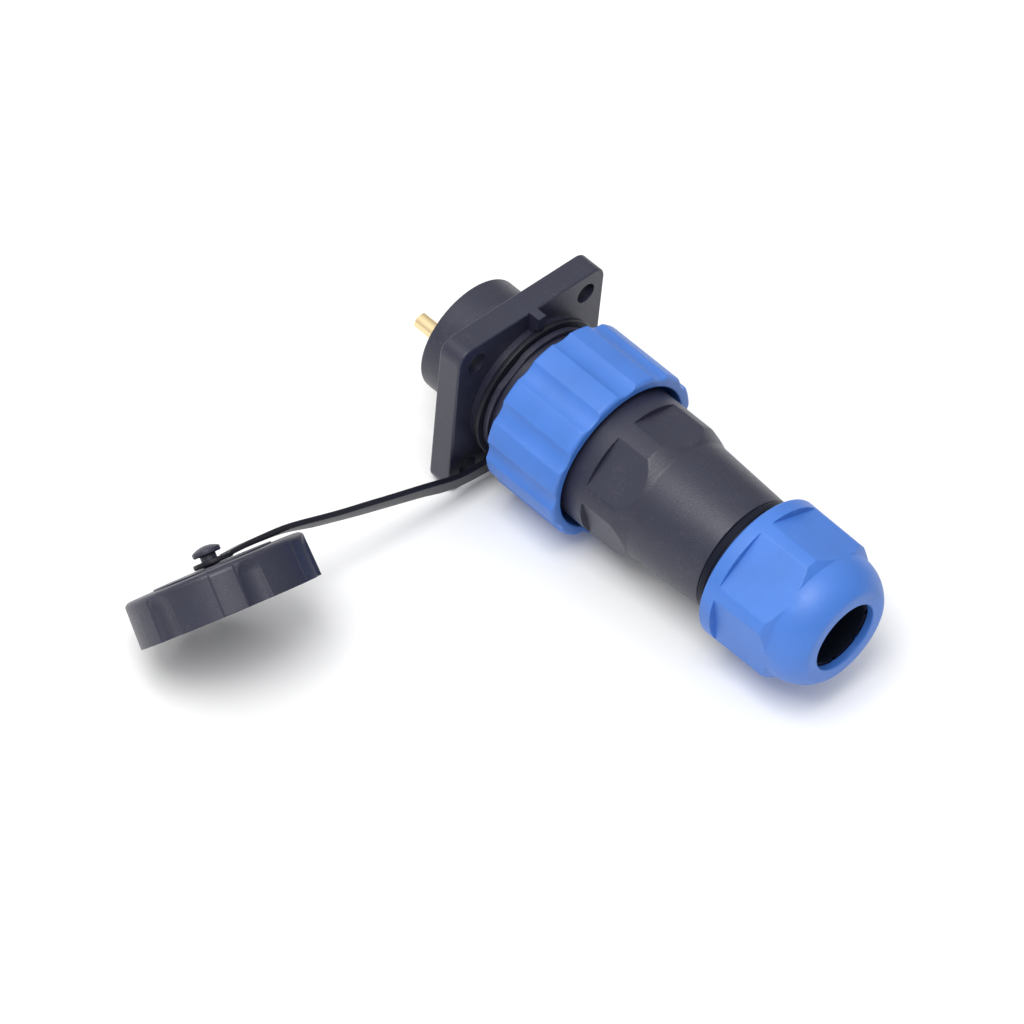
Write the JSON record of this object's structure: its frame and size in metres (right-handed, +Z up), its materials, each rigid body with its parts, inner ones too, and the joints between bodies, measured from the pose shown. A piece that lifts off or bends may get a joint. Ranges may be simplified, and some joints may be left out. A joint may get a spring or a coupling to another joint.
{
  "type": "waterproof circular power connector",
  "caption": "Waterproof round power connector: square-flange panel socket mated with a plug with fluted coupling nut and cable gland, and a cap on a moulded strap.",
  "frame": {"origin": "centre of the flange's panel side, on the connector's axis", "axes": "+X along the connector's axis from the panel towards the cable gland, +Z up through the index rib on the flange's top edge"},
  "size_m": [0.089, 0.0953, 0.0312],
  "materials": {
    "black_nylon": "moulded glass-filled nylon, fine satin grain",
    "cap_nylon": "moulded glass-filled nylon, fine satin grain",
    "blue_nylon": "moulded nylon, satin",
    "strap_rubber": "moulded soft plastic, satin",
    "seal_rubber": "moulded rubber, dull",
    "gold_plate": "gold plating on turned brass"
  },
  "bodies": {
    "receptacle": {"receptacle_shell": "black_nylon", "receptacle_insert": "black_nylon", "insert_seal": "seal_rubber", "insert_lock_ring": "black_nylon", "receptacle_pin_a": "gold_plate", "receptacle_pin_b": "gold_plate"},
    "strap": {"cap_strap": "strap_rubber"},
    "cap": {"cap": "cap_nylon", "cap_seal": "seal_rubber"},
    "plug": {"front_shell": "black_nylon", "plug_insert": "black_nylon", "plug_insert_ring": "black_nylon", "plug_socket_a": "gold_plate", "plug_socket_b": "gold_plate", "nose_seal": "seal_rubber", "back_shell": "black_nylon", "back_shell_seal": "seal_rubber", "gland_gasket": "seal_rubber"},
    "coupling_nut": {"coupling_nut": "blue_nylon"},
    "clamp": {"cable_clamp": "black_nylon", "cable_seal": "seal_rubber"},
    "gland_nut": {"gland_nut": "blue_nylon"}
  },
  "joints": [
    {"name": "plug_slide", "type": "slide", "parent": "receptacle", "child": "plug", "axis": [1, 0, 0], "range_m": [0, 0.015]},
    {"name": "nut_turn", "type": "hinge", "parent": "plug", "child": "coupling_nut", "pos_m": [0.0184, 0, 0], "axis": [1, 0, 0], "range_deg": [0, 1800]},
    {"name": "clamp_slide", "type": "slide", "parent": "plug", "child": "clamp", "axis": [1, 0, 0], "range_m": [0, 0.00675]},
    {"name": "gland_nut_turn", "type": "hinge", "parent": "clamp", "child": "gland_nut", "pos_m": [0.0645, 0, 0], "axis": [1, 0, 0], "range_deg": [0, 1620]},
    {"name": "strap_swing", "type": "hinge", "parent": "receptacle", "child": "strap", "pos_m": [0.00637, 0, 0], "axis": [1, 0, 0], "range_deg": [-115, 170]},
    {"name": "cap_swivel", "type": "hinge", "parent": "strap", "child": "cap", "pos_m": [0.0025, -0.06387, 0.00096], "axis": [-0.7787, 0.1519, 0.6087], "continuous": true}
  ],
  "couplings": [
    {"joint": "plug_slide", "follows": "nut_turn", "m_per_rad": 0.00047746},
    {"joint": "clamp_slide", "follows": "gland_nut_turn", "m_per_rad": 0.00023873}
  ]
}
